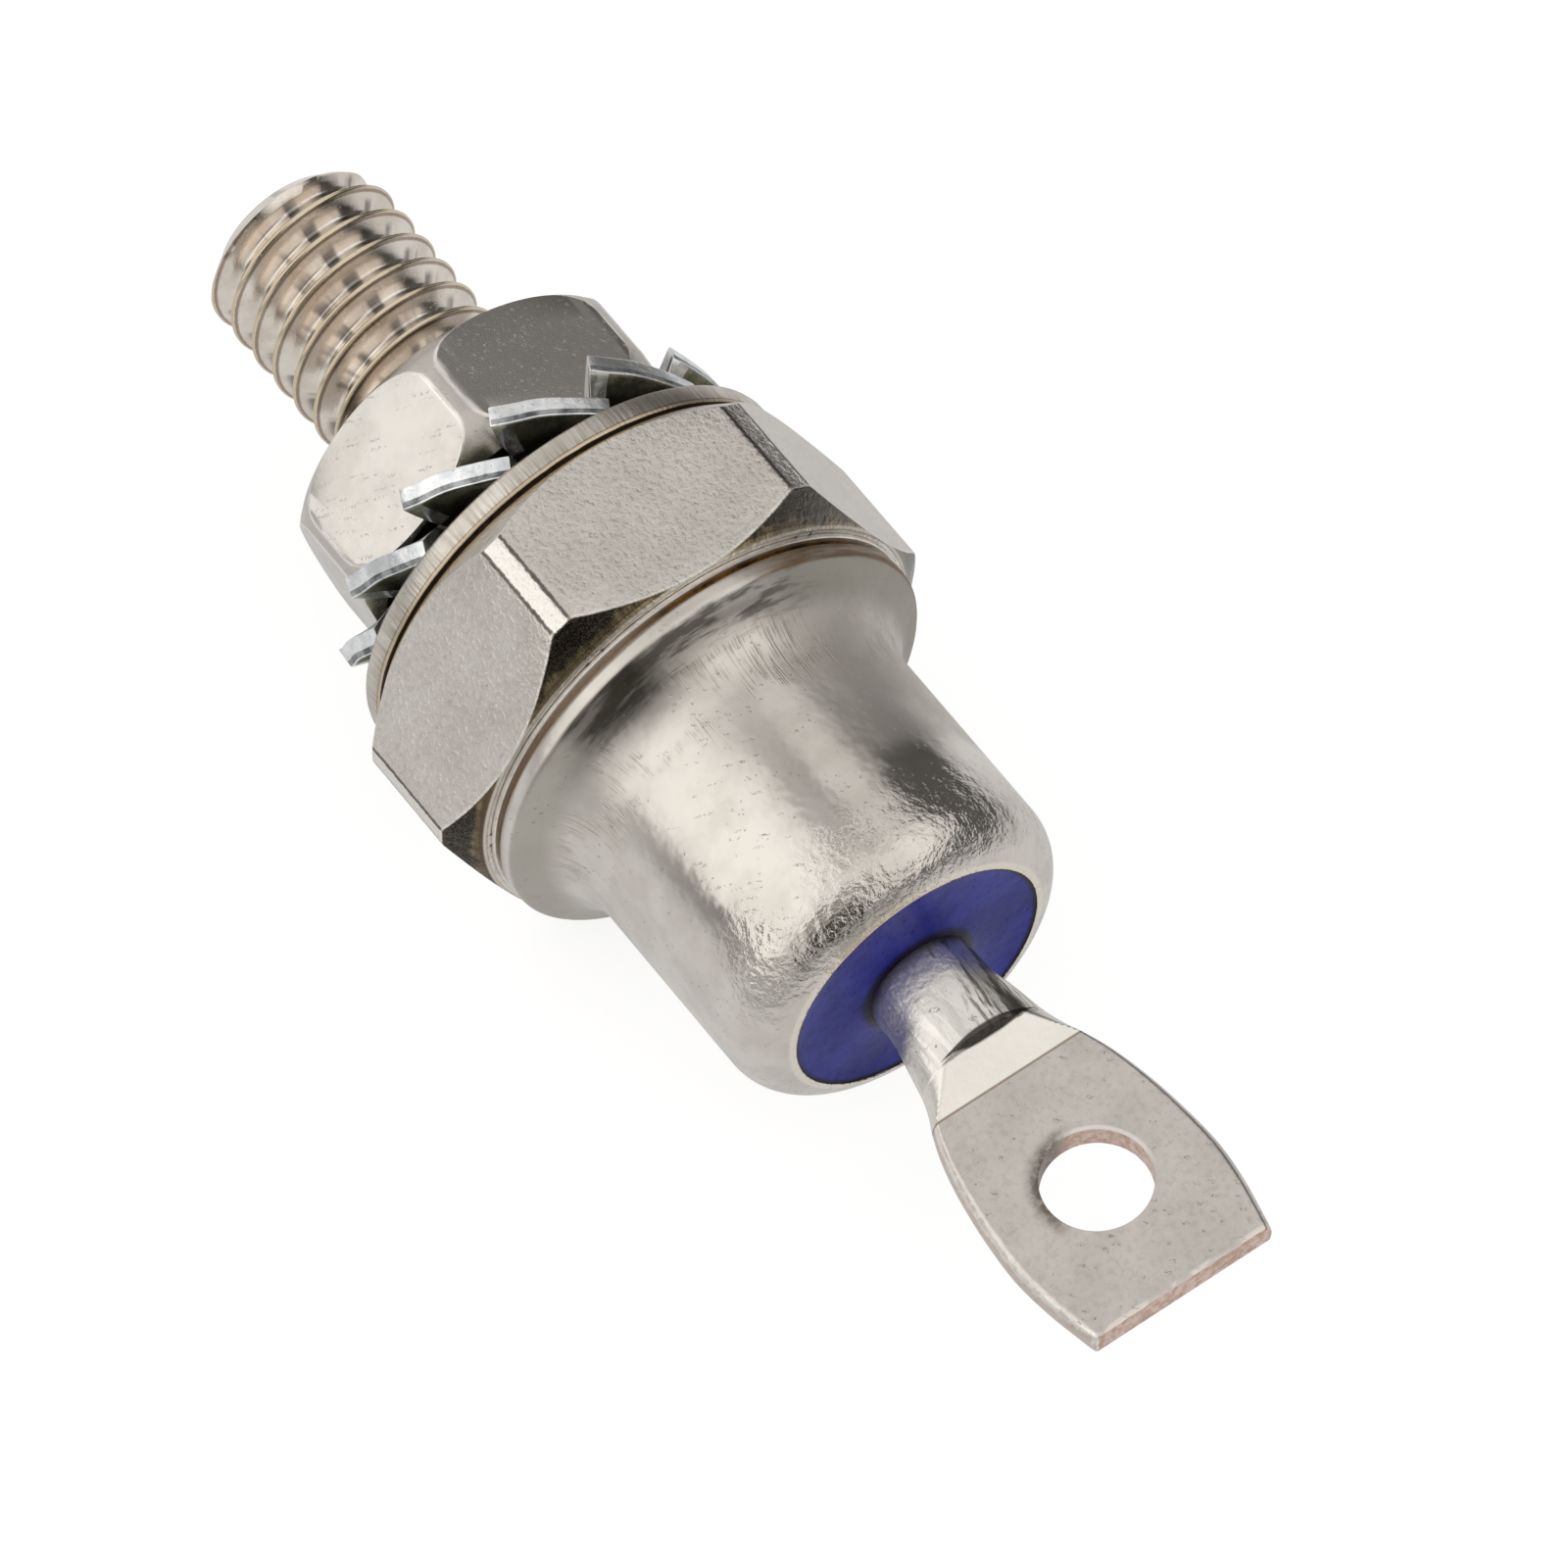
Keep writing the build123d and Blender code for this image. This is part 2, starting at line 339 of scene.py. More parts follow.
crest_r = 2.28
thread_pitch = 0.785
thread_turns = 18
thread_first = -12.947
thread_inside = 0.3
stud_end = -11.52
stud_end_r = 1.68
stud_end_slope = 1.15
thread_form = [(0.0, 0.008), (0.022, 0.0), (0.038, 0.008), (0.06, 0.045), (0.15, 0.17)]
thread_form += [(0.25, 0.3), (0.325, 0.39), (0.365, 0.425), (0.3925, 0.43)]
thread_form += [(thread_pitch - x, depth) for x, depth in reversed(thread_form[:-1])]

bpy.ops.mesh.primitive_plane_add(size=mm)
thread = bpy.context.object
bpy.ops.object.mode_set(mode="EDIT")
bpy.ops.mesh.merge(type="CENTER")
bpy.ops.transform.translate(value=(thread_first * mm, (crest_r - thread_form[0][1]) * mm, 0))
for (x, depth), (next_x, next_depth) in zip(thread_form, thread_form[1:]):
    step = ((next_x - x) * mm, (depth - next_depth) * mm, 0)
    bpy.ops.mesh.extrude_region_move(TRANSFORM_OT_translate={"value": step})
bpy.ops.object.mode_set(mode="OBJECT")
wound = thread.modifiers.new("wound", "SCREW")
wound.axis = "X"
wound.screw_offset = thread_pitch * mm
wound.iterations = thread_turns
wound.steps = wound.render_steps = 108
bpy.ops.object.modifier_apply(modifier=wound.name)
start_edit(thread)
for cut_x, beyond in ((stud_end, -1), (thread_inside, 1)):
    bpy.ops.mesh.select_all(action="SELECT")
    bpy.ops.mesh.bisect(
        plane_co=(cut_x * mm, 0, 0), plane_no=(beyond, 0, 0), threshold=cut_gap,
        use_fill=True, clear_outer=True,
    )
bpy.ops.object.mode_set(mode="OBJECT")
for vertex in thread.data.vertices:
    r = math.hypot(vertex.co.y, vertex.co.z) / mm
    limit = stud_end_r + stud_end_slope * (vertex.co.x / mm - stud_end)
    if r > limit:
        vertex.co.y *= limit / r
        vertex.co.z *= limit / r
close_up(thread, 38.0)

# Nickel of the hexagon and of the thread.
tree, shader = surface("nickel_base", hexagon)
place = used(tree, turned_place)
plate = used(tree, plating, Patch_Size=1.8, Pit_Size=0.17, Pit_Share=0.1)
fine = used(tree, plating, Patch_Size=0.35, Pit_Size=0.09, Pit_Share=0.2)
peel = used(tree, plating, Patch_Size=0.13)
lines = used(tree, tool_lines, Ring_Scale=9.0)
flat = blend(ramp(plate["Patch"], 0.3, 0.7), (0.69, 0.65, 0.605), (0.77, 0.735, 0.69))
flat = blend(ramp(peel["Patch"], 0.45, 0.68, 0.0, 0.3), flat, (0.47, 0.42, 0.365))
flat = blend(ramp(peel["Patch"], 0.42, 0.28, 0.0, 0.25), flat, (0.90, 0.87, 0.82))
flat = blend(times(plate["Pit"], 0.55), flat, (0.30, 0.24, 0.20))
flat = blend(times(fine["Pit"], 0.2), flat, (0.36, 0.32, 0.28))
# The strips left at the corners are burnished and painted lighter as a highlight, with painted shade in a
# dark line at each side.
from_corner = minus(30.0, size_of(from_flat(place, 0.0)))
from_corner = scaled(peel["Patch"], 0.9, minus(from_corner, 0.45))
seat_slope = (hexagon_corner_r - seat_r) / seat_rise
seat = minus(minus(place["Radius"], seat_r), times(place["Along"], seat_slope))
off_seat = ramp(seat, -0.01, -0.035)
strip = times(off_seat, ramp(from_corner, 1.65, 1.95, 1.0, 0.0))
strip_edge_shade = ramp(size_of(minus(from_corner, 2.3)), 0.2, 0.6, 1.0, 0.0)
strip_edge_shade = times(off_seat, strip_edge_shade, 0.85)
flat = blend(strip_edge_shade, flat, (0.07, 0.05, 0.045))
flat = blend(strip, flat, (0.86, 0.82, 0.77))
# The turned cone beside the ring is mottled dark and brown.
land_slope = land_drop / (hexagon_corner_r - land_r)
land = scaled(minus(place["Radius"], land_r), land_slope, minus(place["Along"], hexagon_height))
land = scaled(fine["Grain"], 0.05, minus(land, 0.025))
on_land = ramp(land, -0.035, -0.012)
lathe = ramp(lines["Rings"], 0.35, 0.66)
turned_tone = blend(lathe, (0.10, 0.065, 0.04), (0.50, 0.40, 0.24))
blackened = scaled(fine["Patch"], 0.5, minus(place["Radius"], 0.25))
blackened = scaled(lines["Rings"], 0.25, minus(blackened, 0.125))
blackened = ramp(blackened, 5.55, 5.8, 0.0, 0.97)
black_tone = blend(ramp(fine["Grain"], 0.45, 0.62), (0.014, 0.012, 0.010), (0.10, 0.085, 0.065))
turned_tone = blend(blackened, turned_tone, black_tone)
cool_side = ramp(place["Side"], 0.2, 0.6, 0.0, 0.6)
turned_tone = blend(cool_side, turned_tone, (0.27, 0.255, 0.23))
turned_tone = blend(ramp(place["Radius"], 5.57, 5.53), turned_tone, (0.66, 0.60, 0.53))
flat = blend(on_land, flat, turned_tone)
edge_glint = band(land, -0.10, -0.06, -0.035, -0.012)
edge_glint = times(edge_glint, ramp(fine["Patch"], 0.35, 0.6, 0.2, 0.85))
flat = blend(edge_glint, flat, (0.96, 0.92, 0.84))
# The cone beside the washer is painted dark, painted shade in the gap between them, with a golden line at
# its outer edge.
on_seat = times(ramp(seat, -0.035, -0.01), ramp(place["Radius"], 5.60, 5.54))
seat_tone = blend(ramp(place["Radius"], 5.44, 5.47), (0.02, 0.012, 0.007), (0.60, 0.46, 0.28))
flat = blend(on_seat, flat, seat_tone)
rough = scaled(plate["Patch"], 0.14, 0.24)
rough = scaled(strip, -0.1, rough)
height = scaled(peel["Patch"], 2.8, times(plate["Pit"], -0.5))
height = scaled(times(on_land, lines["Rings"]), 1.2, height)
finish_surface(shader, flat, rough, height, 0.012)

tree, shader = surface("nickel_thread", thread)
place = used(tree, turned_place)
plate = used(tree, plating, Patch_Size=0.9, Pit_Size=0.12, Pit_Share=0.1)
flank = blend(ramp(plate["Patch"], 0.35, 0.7), (0.73, 0.655, 0.575), (0.88, 0.82, 0.75))
# The roots of the grooves are painted dark in patches round the stud: painted shade and painted reflection
# of dark things.
root_shade = ramp(wound_noise(place, 3.4, 0.16), 0.53, 0.66)
root_shade = times(root_shade, ramp(place["Radius"], 2.12, 1.96, 0.0, 0.72))
flank = blend(root_shade, flank, (0.10, 0.095, 0.10))
wavering = scaled(plate["Grain"], 0.05, minus(place["Radius"], 0.025))
crest = ramp(wavering, 2.25, 2.268)
flank = blend(crest, flank, (0.74, 0.63, 0.46))
# A dark line of painted shade runs along each side of the crest.
edge = band(wavering, 2.17, 2.20, 2.238, 2.256)
flank = blend(times(edge, 0.75), flank, (0.25, 0.17, 0.11))
rough = scaled(plate["Patch"], 0.12, 0.06)
height = scaled(plate["Pit"], -0.6, times(plate["Grain"], 0.35))
finish_surface(shader, flank, rough, height, 0.006)

select_only(hexagon, thread)
bpy.ops.object.join()
hexagon.name = "threaded_base"
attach(hexagon, "root")
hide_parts("stud_base")

# Weld ring. A thin steel ring brazed to the top of the hexagon, stamped with a step. The cap's flange was
# welded to the step, and the heat left the metal golden brown in the narrow gap.
ring_foot, ring_top, ring_bore_r = hexagon_height, 4.29, 3.7
weld_ring = turned(
    "welded_ring",
    [(ring_foot, ring_bore_r), (ring_foot, 5.35), (4.065, 5.375), (4.15, 5.378), (4.17, 5.35), (4.172, 5.12)]
    + [(4.19, 5.1), (4.27, 5.09), (ring_top, 5.06), (ring_top, ring_bore_r), (ring_foot, ring_bore_r)],
    200,
)
close_up(weld_ring, 30.0)
tree, shader = surface("nickel_ring", weld_ring)
place = used(tree, turned_place)
plate = used(tree, plating, Patch_Size=0.5, Pit_Size=0.1, Pit_Share=0.25)
tone = blend(ramp(plate["Patch"], 0.35, 0.65), (0.90, 0.86, 0.81), (0.78, 0.73, 0.67))
burnt = blend(ramp(plate["Patch"], 0.42, 0.6), (0.55, 0.36, 0.14), (0.20, 0.12, 0.08))
# The brown gap is painted lighter on its upper side, a painted highlight where light falls into it.
lit_gap_side = vectors("DOT_PRODUCT", place["Round"], (0.0, 0.34, 0.94))
burnt = blend(ramp(lit_gap_side, 0.72, 0.95), (0.72, 0.61, 0.51), burnt)
tone = blend(ramp(place["Radius"], 5.3, 5.2), tone, burnt)
tone = blend(times(plate["Pit"], 0.6), tone, (0.16, 0.12, 0.09))
rough = scaled(plate["Patch"], 0.2, 0.24)
height = scaled(plate["Pit"], -0.8, times(plate["Grain"], 0.5))
finish_surface(shader, tone, rough, height, 0.01)
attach(weld_ring, "root")
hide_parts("weld_ring")

# Silicon stack. Inside the cap the die sits between two molybdenum discs on thin solder, with a copper
# lead up into the terminal and a silicone bead round its edge. None of it shows from outside.
stack_finishes = {
    "solder": ((0.50, 0.50, 0.51), (0.62, 0.62, 0.63), 1.0, 0.42),
    "molybdenum": ((0.38, 0.38, 0.40), (0.50, 0.50, 0.52), 1.0, 0.34),
    "silicon": ((0.14, 0.15, 0.18), (0.20, 0.21, 0.25), 0.4, 0.16),
    "copper": ((0.74, 0.42, 0.29), (0.83, 0.52, 0.38), 1.0, 0.3),
    "coating": ((0.80, 0.79, 0.74), (0.88, 0.87, 0.83), 0.0, 0.45),
}
stack_nodes = {
    "solder": ("base_solder", "die_solder_lower", "die_solder_upper", "lead_solder"),
    "molybdenum": ("lower_disc", "upper_disc"),
    "silicon": ("silicon_die",),
    "copper": ("inner_lead",),
    "coating": ("junction_coating",),
}
for finish, (dark, light, metallic, base_rough) in stack_finishes.items():
    nodes = [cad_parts[node] for node in stack_nodes[finish]]
    for node in nodes:
        node.data.materials.clear()
    tree, shader = surface(finish, *nodes, metallic=metallic)
    plate = used(tree, plating, Patch_Size=0.8, Pit_Size=0.15, Pit_Share=0.1)
    tone = blend(plate["Patch"], dark, light)
    rough = scaled(plate["Patch"], 0.12, base_rough)
    finish_surface(shader, tone, rough, plate["Grain"], 0.004)

# Cap shell. Drawn from one steel blank and nickel plated: a turned-out flange at the foot, a swept skirt,
# the long wall and a rounded shoulder. The drawing die left fine lines along the wall near the foot.


def arc(centre, radius, start, end, count):
    """Points (place, radius) on an arc, by angle in degrees from the direction along the axis."""
    angles = [math.radians(start + (end - start) * step / count) for step in range(count + 1)]
    return [(centre[0] + radius * math.cos(a), centre[1] + radius * math.sin(a)) for a in angles]


cap_top = 12.09
cap_r, cap_inner_r = 4.15, 3.61
flange_r, flange_inner_r = 5.36, 4.92
skirt_r, skirt_end = 1.642, 6.29
shoulder_r = 1.26
mouth_r, mouth_foot = 3.13, 11.59
slope_foot = mouth_foot - (cap_inner_r - mouth_r)
skirt = arc((skirt_end, cap_r + skirt_r), skirt_r, 199.3, 270.0, 14)
shoulder = arc((cap_top - shoulder_r, cap_r - shoulder_r), shoulder_r, 90.0, 11.5, 16)
flange = [(ring_top, flange_inner_r), (ring_top, 5.25), (4.305, 5.31), (4.35, 5.35), (4.42, flange_r)]
flange += [(4.58, flange_r), (4.65, 5.35), (4.7, 5.31)]
cap_wall = [(7.2, cap_r), (8.6, cap_r), (10.0, cap_r)]
cap_inside = [(12.072, 3.15), (12.055, 3.135), (mouth_foot, mouth_r), (slope_foot, cap_inner_r)]
cap_inside += [(5.59, cap_inner_r), (ring_top, flange_inner_r)]
cap = turned("drawn_cap", flange + skirt + cap_wall + shoulder + cap_inside, 220)
close_up(cap, 35.0)


def larger(first, second):
    """The larger of two values."""
    return maths("MAXIMUM", first, second)


tree, shader = surface("nickel_cap", cap)
place = used(tree, turned_place)
plate = used(tree, plating, Patch_Size=1.3, Pit_Size=0.14, Pit_Share=0.1)
fine = used(tree, plating, Patch_Size=0.28, Pit_Size=0.07, Pit_Share=0.15)
lines = used(tree, tool_lines, Line_Scale=85.0)
tone = blend(ramp(plate["Patch"], 0.35, 0.65), (0.75, 0.71, 0.66), (0.66, 0.62, 0.57))
drawn = band(place["Along"], 5.1, 5.5, 5.9, 7.2)
drawn = times(drawn, ramp(lines["Lines"], 0.5, 0.66), ramp(plate["Patch"], 0.42, 0.58))
tone = blend(times(drawn, 0.4), tone, (0.30, 0.27, 0.23))
# The foot is painted darker, less so on top, and a dark band and patches on it are painted reflection of
# dark things around; the flange's rim is browner on one side.
foot_band = band(place["Along"], 4.62, 4.70, 4.95, 5.45)
dark_reflection_side = vectors("DOT_PRODUCT", place["Round"], (0.0, -0.574, 0.819))
dark_foot_reflection = times(foot_band, ramp(place["Up"], 0.93, 0.99, 0.7, 0.25))
tone = blend(dark_foot_reflection, tone, (0.40, 0.375, 0.33))
streaks = wound_noise(place, 3.0, 7.0, detail=3.0, rough=0.65)
dark_band_reflection = times(ramp(dark_reflection_side, 0.955, 0.99), ramp(streaks, 0.36, 0.56, 0.45, 1.0))
patches = times(ramp(dark_reflection_side, 0.35, 0.7), ramp(streaks, 0.48, 0.62, 0.0, 0.75))
patches = times(patches, ramp(place["Side"], -0.6, -0.4))
dark_band_reflection = times(foot_band, larger(dark_band_reflection, patches))
tone = blend(times(dark_band_reflection, 0.92), tone, (0.075, 0.068, 0.052))
browned = times(ramp(place["Radius"], 5.27, 5.33), ramp(place["Side"], 0.05, 0.4))
browned = times(browned, ramp(streaks, 0.3, 0.6, 0.5, 0.95))
tone = blend(browned, tone, (0.24, 0.155, 0.085))
lip = times(ramp(place["Radius"], 3.34, 3.26), ramp(place["Along"], 11.9, 12.0))
tone = blend(lip, tone, (0.86, 0.80, 0.70))
tone = blend(times(plate["Pit"], 0.5), tone, (0.18, 0.16, 0.13))
# The wall is more worn towards the foot, and most of all on one side.
rough = scaled(plate["Patch"], 0.12, 0.15)
rough = plus(rough, ramp(place["Along"], 9.6, 5.6, -0.05, 0.12))
worn = times(ramp(place["Along"], 9.5, 8.7, 0.0, 0.24), ramp(place["Side"], 0.1, 0.35))
rough = plus(rough, worn)
# The shoulder has the orange peel of stretched metal.
orange_peel = times(ramp(place["Along"], 9.3, 11.0), fine["Patch"])
height = scaled(plate["Pit"], -0.6, times(orange_peel, 4.6))
height = scaled(foot_band, streaks, height)
height = scaled(plate["Patch"], 3.0, height)
height = scaled(drawn, -0.8, height)
finish_surface(shader, tone, rough, height, 0.012)
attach(cap, "root")
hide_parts("cap_shell")

# Glass seal. A bead of blue glass fused between the cap's mouth and the terminal. It sank a little as it
# cooled and crept up the tube, and its face keeps a few pits and flow marks.
glass_foot, glass_top = 9.49, 12.03
tube_r = 1.28
filling = [(glass_foot, tube_r), (glass_foot, cap_inner_r), (slope_foot, cap_inner_r), (mouth_foot, mouth_r)]
glass_face = [(0.0, mouth_r), (-0.02, 3.05), (-0.05, 2.8), (-0.06, 2.5), (-0.055, 2.1), (-0.03, 1.8)]
glass_face += [(0.0, 1.6), (0.04, 1.42), (0.085, 1.32), (0.098, tube_r)]
filling += [(glass_top + rise, r) for rise, r in glass_face]
glass = turned("fused_seal", filling + [(glass_foot, tube_r)], 160)
close_up(glass, 40.0)
tree, shader = surface("blue_glass", glass, metallic=0.0)
place = used(tree, turned_place)
plate = used(tree, plating, Patch_Size=1.6, Pit_Size=0.16, Pit_Share=0.2)
tone = blend(ramp(plate["Patch"], 0.35, 0.68), (0.020, 0.026, 0.26), (0.052, 0.062, 0.42))
tone = blend(ramp(place["Radius"], 1.55, 1.34), tone, (0.01, 0.008, 0.03))
tone = blend(ramp(place["Radius"], 3.0, 3.11), tone, (0.008, 0.006, 0.03))
tone = blend(times(plate["Pit"], 0.7), tone, (0.005, 0.004, 0.04))
rough = scaled(plate["Patch"], 0.25, 0.18)
height = scaled(plate["Pit"], -0.8, times(plate["Patch"], 2.0))
finish_surface(shader, tone, rough, height, 0.02)
shader.inputs["Specular IOR Level"].default_value = 0.15
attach(glass, "root")
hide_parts("glass_seal")

# Terminal. Copper tube, nickel plated, that two dies closed on: it swells sideways, narrows to a sharp
# step and goes on as a flat lug. The hole and the end were cut later and show bare copper.
tube_foot, tube_bore_r = 8.69, 0.7
lug_top, lug_foot = 0.35, -0.21
crease_at = 3.27
die_line = 2.42
ramp_rise = math.tan(math.radians(30.0))
die_rise = 2.6
press_from = 0.55
lug_end, break_from = 9.42, 9.38
lug_turn = math.radians(3.5)
half_widths = [(press_from, tube_r), (0.95, 1.31), (1.45, 1.43), (2.0, 1.55), (2.4, 1.64), (2.85, 1.80)]
half_widths += [(crease_at, 2.0), (4.0, 2.26), (5.0, 2.48), (6.2, 2.63), (7.2, 2.67), (8.2, 2.56)]
half_widths += [(9.0, 2.40), (lug_end, 2.31)]
half_heights = [(press_from, tube_r), (0.95, 1.27), (1.45, 1.22), (2.0, 1.13), (2.4, 1.08), (crease_at, 1.0)]
half_heights += [(lug_end, 1.0)]


def through(points, x):
    """Smooth value at x of a line through the points, which is level before and after them."""
    if x <= points[0][0]:
        return points[0][1]
    if x >= points[-1][0]:
        return points[-1][1]
    index = sum(point[0] <= x for point in points)
    left, right = points[index - 1], points[index]
    before, after = points[max(0, index - 2)], points[min(len(points) - 1, index + 1)]
    span = right[0] - left[0]
    share = (x - left[0]) / span
    slope_left = (right[1] - before[1]) / (right[0] - before[0]) * span
    slope_right = (after[1] - left[1]) / (after[0] - left[0]) * span
    return (
        (2 * share ** 3 - 3 * share ** 2 + 1) * left[1] + (share ** 3 - 2 * share ** 2 + share) * slope_left
        + (3 * share ** 2 - 2 * share ** 3) * right[1] + (share ** 3 - share ** 2) * slope_right
    )


def held_under(value, roof, soft=0.012):
    """Value kept under a roof, with a small round where it meets it."""
    return (value + roof - math.sqrt((value - roof) ** 2 + soft ** 2)) / 2


tube_stations = [-0.05, 0.3] + [press_from + 0.15 * step for step in range(8)]
tube_stations += [1.7 + 0.04 * step for step in range(42)] + [3.4, 3.5, 3.65, 3.85, 4.1, 4.4]
tube_stations += [4.7 + 0.3 * step for step in range(16)] + [9.3, 9.39, lug_end]
tube_outline = [(13.2, 0.12), (13.1, tube_bore_r), (tube_foot, tube_bore_r), (tube_foot, tube_r)]
tube_rings = tube_outline + [(cap_top + x, tube_r) for x in tube_stations]
tube_steps = 112
terminal = turned("pressed_terminal", tube_rings, tube_steps)
for index, vertex in enumerate(terminal.data.vertices):
    row = index // tube_steps - len(tube_outline)
    if row >= 0:
        x = tube_stations[row]
        angle = math.atan2(vertex.co.z, vertex.co.y)
        y, z = through(half_widths, x) * math.cos(angle), through(half_heights, x) * math.sin(angle)
        if x >= press_from:
            rise = max(0.0, crease_at - x) * ramp_rise + max(0.0, die_line - x) * die_rise
            z = held_under(z, lug_top + rise)
            z = -held_under(-z, -lug_foot + rise)
        if x > break_from:
            y *= 1 - (x - break_from) * 0.35
            z = lug_foot + (z - lug_foot) * (1 - (x - break_from) * 0.5)
        vertex.co = ((cap_top + x) * mm, y * mm, z * mm)
close_up(terminal, 30.0)


def combine(piece, tool, operation):
    """Cuts a tool from the piece or adds it, for good, and smooths the shading again."""
    change = piece.modifiers.new("change", "BOOLEAN")
    change.object = tool
    change.operation = operation
    change.solver = "EXACT"
    select_only(piece)
    bpy.ops.object.modifier_apply(modifier=change.name)
    bpy.data.objects.remove(tool)
    bpy.ops.object.shade_smooth_by_angle(angle=math.radians(30.0))


hole_x, hole_r = cap_top + 6.37, 1.22
bpy.ops.mesh.primitive_cylinder_add(
    vertices=96, radius=hole_r * mm, depth=3 * mm, location=(hole_x * mm, 0, 0)
)
punch = bpy.context.object
bpy.ops.object.transform_apply()
combine(terminal, punch, "DIFFERENCE")
terminal.rotation_euler = (lug_turn, 0, 0)
bpy.ops.object.transform_apply(location=False, rotation=True, scale=False)

tree, shader = surface("nickel_terminal", terminal)
turned_back = {"Vector": point_in_mm(tree), "Rotation": (-lug_turn, 0, 0)}
point = made(tree, "ShaderNodeMapping", turned_back).outputs[0]
spot = made(tree, "ShaderNodeSeparateXYZ", {0: point}).outputs
plate = used(tree, plating, Patch_Size=1.2, Pit_Size=0.24, Pit_Share=0.14)
fine = used(tree, plating, Patch_Size=0.16, Pit_Size=0.09, Pit_Share=0.2)
stretched = vectors("MULTIPLY", point, (0.5, 3.6, 3.6))
wrinkle = noise(stretched, 1.0, detail=4.0, rough=0.6, warp=0.4)
tone = blend(ramp(plate["Patch"], 0.3, 0.7), (0.76, 0.72, 0.68), (0.68, 0.64, 0.60))
tone = blend(ramp(fine["Patch"], 0.48, 0.66, 0.0, 0.22), tone, (0.42, 0.37, 0.32))
tone = blend(ramp(fine["Patch"], 0.40, 0.30, 0.0, 0.2), tone, (0.90, 0.87, 0.83))
on_tube = ramp(spot[0], cap_top + die_line + 0.03, cap_top + die_line - 0.03)
on_lug = ramp(spot[0], cap_top + crease_at - 0.01, cap_top + crease_at + 0.05)
tone = blend(on_tube, tone, (0.90, 0.87, 0.82))
pitted = times(plate["Pit"], larger(on_tube, on_lug))
tone = blend(times(pitted, 0.6), tone, (0.26, 0.21, 0.18))
on_ramp = minus(1.0, larger(on_tube, on_lug))
tone = blend(times(on_ramp, 0.85), tone, (0.92, 0.89, 0.83))
# The flutes of the tube are painted dark as painted shade, more on one side.
flute_shade = times(on_tube, ramp(wrinkle, 0.46, 0.56, 0.0, 0.88), ramp(spot[1], -0.35, 0.45, 0.2, 1.0))
tone = blend(flute_shade, tone, (0.14, 0.12, 0.10))
# Painted shade in the bite of the dies, where the tube meets the glass, and in the crease at the foot of the
# ramp.
sideways = size_of(minus(spot[1], 0.15))
bite_half = ramp(sideways, 0.2, 1.25, 0.13, 0.02)
bite_shade = size_of(minus(spot[0], cap_top + die_line - 0.08))
bite_shade = ramp(maths("DIVIDE", bite_shade, bite_half), 0.6, 1.1, 1.0, 0.0)
bite_shade = times(bite_shade, ramp(sideways, 1.3, 1.05, 0.0, 0.93))
tone = blend(bite_shade, tone, (0.05, 0.045, 0.04))
tone = blend(ramp(spot[0], cap_top + 0.4, cap_top + 0.02), tone, (0.18, 0.16, 0.15))
fold = size_of(minus(spot[0], cap_top + crease_at))
fold = ramp(fold, 0.012, 0.04, 1.0, 0.0)
tone = blend(times(fold, 0.75), tone, (0.20, 0.12, 0.07))
# Bare copper at the end and in the hole. Its burr is painted light on one side as a painted highlight, and
# painted shade darkens its rim on another.
shear = ramp(spot[0], cap_top + lug_end - 0.02, cap_top + lug_end - 0.006)
off_hole = vectors("ADD", point, (-hole_x, 0, 0))
from_hole = vectors("LENGTH", vectors("MULTIPLY", off_hole, (1, 1, 0)))
hole_wall = ramp(from_hole, hole_r + 0.012, hole_r + 0.004)
copper_tone = blend(ramp(fine["Patch"], 0.35, 0.65), (0.58, 0.38, 0.30), (0.80, 0.64, 0.57))
tone = blend(larger(shear, hole_wall), tone, copper_tone)
burr_highlight = band(from_hole, hole_r + 0.012, hole_r + 0.02, hole_r + 0.08, hole_r + 0.14)
highlight_side = vectors("DOT_PRODUCT", off_hole, (-0.78, 0.62, 0))
tone = blend(times(burr_highlight, ramp(highlight_side, 0.3, 0.9, 0.0, 0.85)), tone, (0.97, 0.94, 0.89))
rim_shade = ramp(from_hole, hole_r + 0.02, hole_r + 0.38, 1.0, 0.0)
rim_shade_side = vectors("DOT_PRODUCT", off_hole, (-0.58, -0.81, 0))
rim_shade = times(rim_shade, ramp(rim_shade_side, 0.4, 1.0), ramp(fine["Patch"], 0.3, 0.6, 0.55, 0.95))
tone = blend(rim_shade, tone, (0.16, 0.13, 0.11))
rough = scaled(plate["Patch"], 0.16, 0.26)
height = scaled(pitted, -0.5, fine["Patch"])
height = scaled(times(on_tube, wrinkle), 2.2, height)
# The edges: a painted highlight along an uneven bevel on the one that the dies squeezed out, and a brown
# line on the other.
curve_length, curve_height = 10.0, 3.0
outline_at = maths("DIVIDE", minus(spot[0], cap_top), curve_length)
half_width = made(tree, "ShaderNodeFloatCurve", {"Value": outline_at})
for x, width in half_widths:
    if x >= crease_at:
        half_width.mapping.curves[0].points.new(x / curve_length, width / curve_height)
half_width.mapping.update()
half_width = times(half_width.outputs[0], curve_height)
uneven = scaled(fine["Patch"], 0.10, -0.05)
inside = minus(half_width, plus(size_of(spot[1]), uneven))
left_side = times(maths("LESS_THAN", spot[1], 0.0), on_lug)
right_side = times(maths("GREATER_THAN", spot[1], 0.0), on_lug)
bevel_highlight = times(left_side, band(inside, 0.03, 0.06, 0.10, 0.14), ramp(fine["Patch"], 0.4, 0.55, 0.3, 0.9))
side_face = times(left_side, ramp(inside, 0.06, 0.03))
tone = blend(times(side_face, 0.6), tone, (0.66, 0.55, 0.48))
tone = blend(bevel_highlight, tone, (0.97, 0.93, 0.87))
